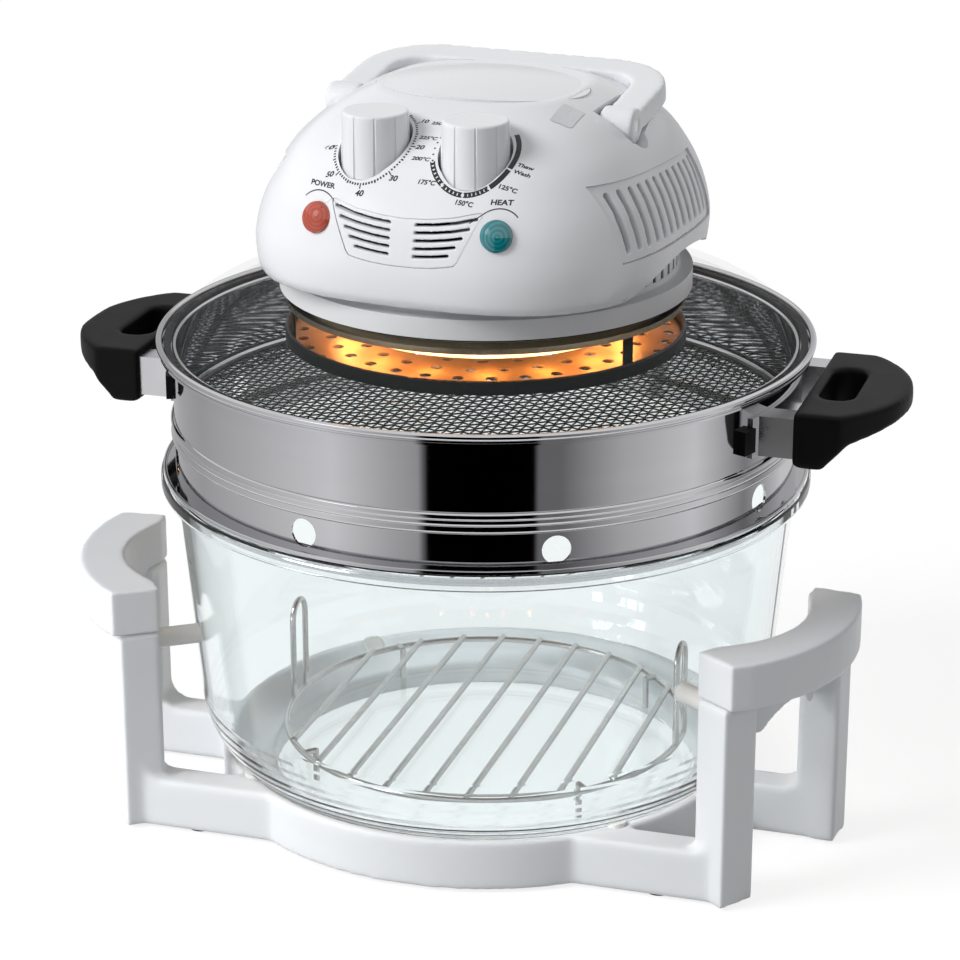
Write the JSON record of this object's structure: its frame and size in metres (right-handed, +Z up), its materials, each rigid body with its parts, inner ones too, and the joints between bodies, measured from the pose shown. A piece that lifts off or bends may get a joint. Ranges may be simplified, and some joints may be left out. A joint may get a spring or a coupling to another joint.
{
  "type": "halogen oven",
  "caption": "Countertop halogen oven: glass bowl in a stand with side grips, steel extension ring with pot handles, and a lift-off lid with a domed control head.",
  "frame": {"origin": "on the bowl's axis, on the surface that the stand's feet rest on", "axes": "+Z up, -Y towards the knobs at the front, X across the two side handles"},
  "size_m": [0.432, 0.331, 0.3754],
  "materials": {
    "stand_plastic": "satin light grey plastic",
    "pad_white": "soft white silicone",
    "foot_rubber": "matt grey rubber",
    "bolt_steel": "zinc plated",
    "bowl_glass": "clear",
    "rack_chrome": "bright plated wire",
    "polished_steel": "mirror polished",
    "bracket_steel": "bright",
    "phenolic_black": "black moulded phenolic",
    "spacer_black": "matt black",
    "mesh_steel": "plated wire",
    "lid_glass": "clear",
    "seal_black": "black silicone",
    "skirt_white": "satin white",
    "head_white": "gloss white",
    "lens_red": "glossy translucent",
    "lens_teal": "glossy translucent",
    "grommet_grey": "matt",
    "reflector_steel": "bright",
    "shield_board": "fibre board",
    "lamp_quartz": "clear quartz",
    "filament_metal": "glowing wire",
    "ceramic": "glazed",
    "guard_bronze": "heat tinted steel",
    "motor_iron": "laminated",
    "zinc_steel": "zinc plated",
    "unit_grey": "moulded",
    "switch_black": "moulded",
    "plunger_red": "moulded",
    "pin_steel": "ground",
    "handle_white": "gloss white",
    "knob_white": "gloss white",
    "fan_aluminium": "pressed",
    "fan_plastic": "moulded"
  },
  "bodies": {
    "stand": {"base_stand": "stand_plastic", "stand_grip_left": "stand_plastic", "stand_grip_right": "stand_plastic", "bumper_pads": "pad_white", "bumper_pegs": "pad_white", "rubber_feet": "foot_rubber", "stand_bolts": "bolt_steel"},
    "bowl": {"glass_bowl": "bowl_glass"},
    "low_rack": {"low_rack": "rack_chrome"},
    "ring": {"extension_ring": "polished_steel", "handle_bracket_left": "bracket_steel", "handle_bracket_right": "bracket_steel", "pot_handle_left": "phenolic_black", "pot_handle_right": "phenolic_black", "handle_spacers": "spacer_black", "handle_screws": "bolt_steel"},
    "mesh_rack": {"mesh_rack": "mesh_steel"},
    "lid": {"lid_glass": "lid_glass", "lid_edge_seal": "seal_black", "head_gasket": "seal_black", "head_skirt": "skirt_white", "head_housing": "head_white", "top_cover": "head_white", "front_vent_grille": "head_white", "side_vent_left": "head_white", "side_vent_right": "head_white", "power_lens": "lens_red", "heat_lens": "lens_teal", "head_screws": "bolt_steel", "cord_grommet": "grommet_grey", "reflector": "reflector_steel", "heat_shield": "shield_board", "reflector_screws": "bolt_steel", "halogen_lamp": "lamp_quartz", "lamp_filament": "filament_metal", "lamp_clips": "ceramic", "heater_guard": "guard_bronze", "guard_posts": "guard_bronze", "motor_stator": "motor_iron", "motor_bracket": "zinc_steel", "timer_unit": "unit_grey", "thermostat": "unit_grey", "safety_switch": "switch_black", "handle_pivots": "pin_steel"},
    "carry_handle": {"carry_handle": "handle_white"},
    "timer_knob": {"timer_knob": "knob_white", "timer_shaft": "pin_steel"},
    "temperature_knob": {"temperature_knob": "knob_white", "thermostat_shaft": "pin_steel"},
    "fan": {"hot_air_fan": "fan_aluminium", "fan_nut": "bolt_steel", "motor_shaft": "pin_steel", "motor_rotor": "motor_iron", "cooling_fan": "fan_plastic"},
    "plunger": {"switch_plunger": "plunger_red"}
  },
  "joints": [
    {"name": "bowl_lift", "type": "slide", "parent": "stand", "child": "bowl", "axis": [0, 0, 1], "range_m": [0, 0.12]},
    {"name": "low_rack_lift", "type": "slide", "parent": "bowl", "child": "low_rack", "axis": [0, 0, 1], "range_m": [0, 0.1]},
    {"name": "ring_lift", "type": "slide", "parent": "bowl", "child": "ring", "axis": [0, 0, 1], "range_m": [0, 0.1]},
    {"name": "mesh_rack_lift", "type": "slide", "parent": "ring", "child": "mesh_rack", "axis": [0, 0, 1], "range_m": [0, 0.035]},
    {"name": "lid_lift", "type": "slide", "parent": "ring", "child": "lid", "axis": [0, 0, 1], "range_m": [0, 0.12]},
    {"name": "carry_handle_hinge", "type": "hinge", "parent": "lid", "child": "carry_handle", "pos_m": [-0.00052, -0.00598, 0.358], "axis": [0.9962, -0.0872, 0], "range_deg": [0, 90]},
    {"name": "timer_turn", "type": "hinge", "parent": "lid", "child": "timer_knob", "pos_m": [-0.03203, -0.07349, 0.345], "axis": [0, 0, -1], "range_deg": [0, 300]},
    {"name": "temperature_turn", "type": "hinge", "parent": "lid", "child": "temperature_knob", "pos_m": [0.01878, -0.07793, 0.345], "axis": [0, 0, -1], "range_deg": [0, 270]},
    {"name": "fan_spin", "type": "hinge", "parent": "lid", "child": "fan", "pos_m": [0, 0, 0.3], "axis": [0, 0, 1], "continuous": true},
    {"name": "plunger_press", "type": "slide", "parent": "lid", "child": "plunger", "axis": [0, 0, 1], "range_m": [-0.003, 0], "stiffness_N_per_m": 300}
  ]
}
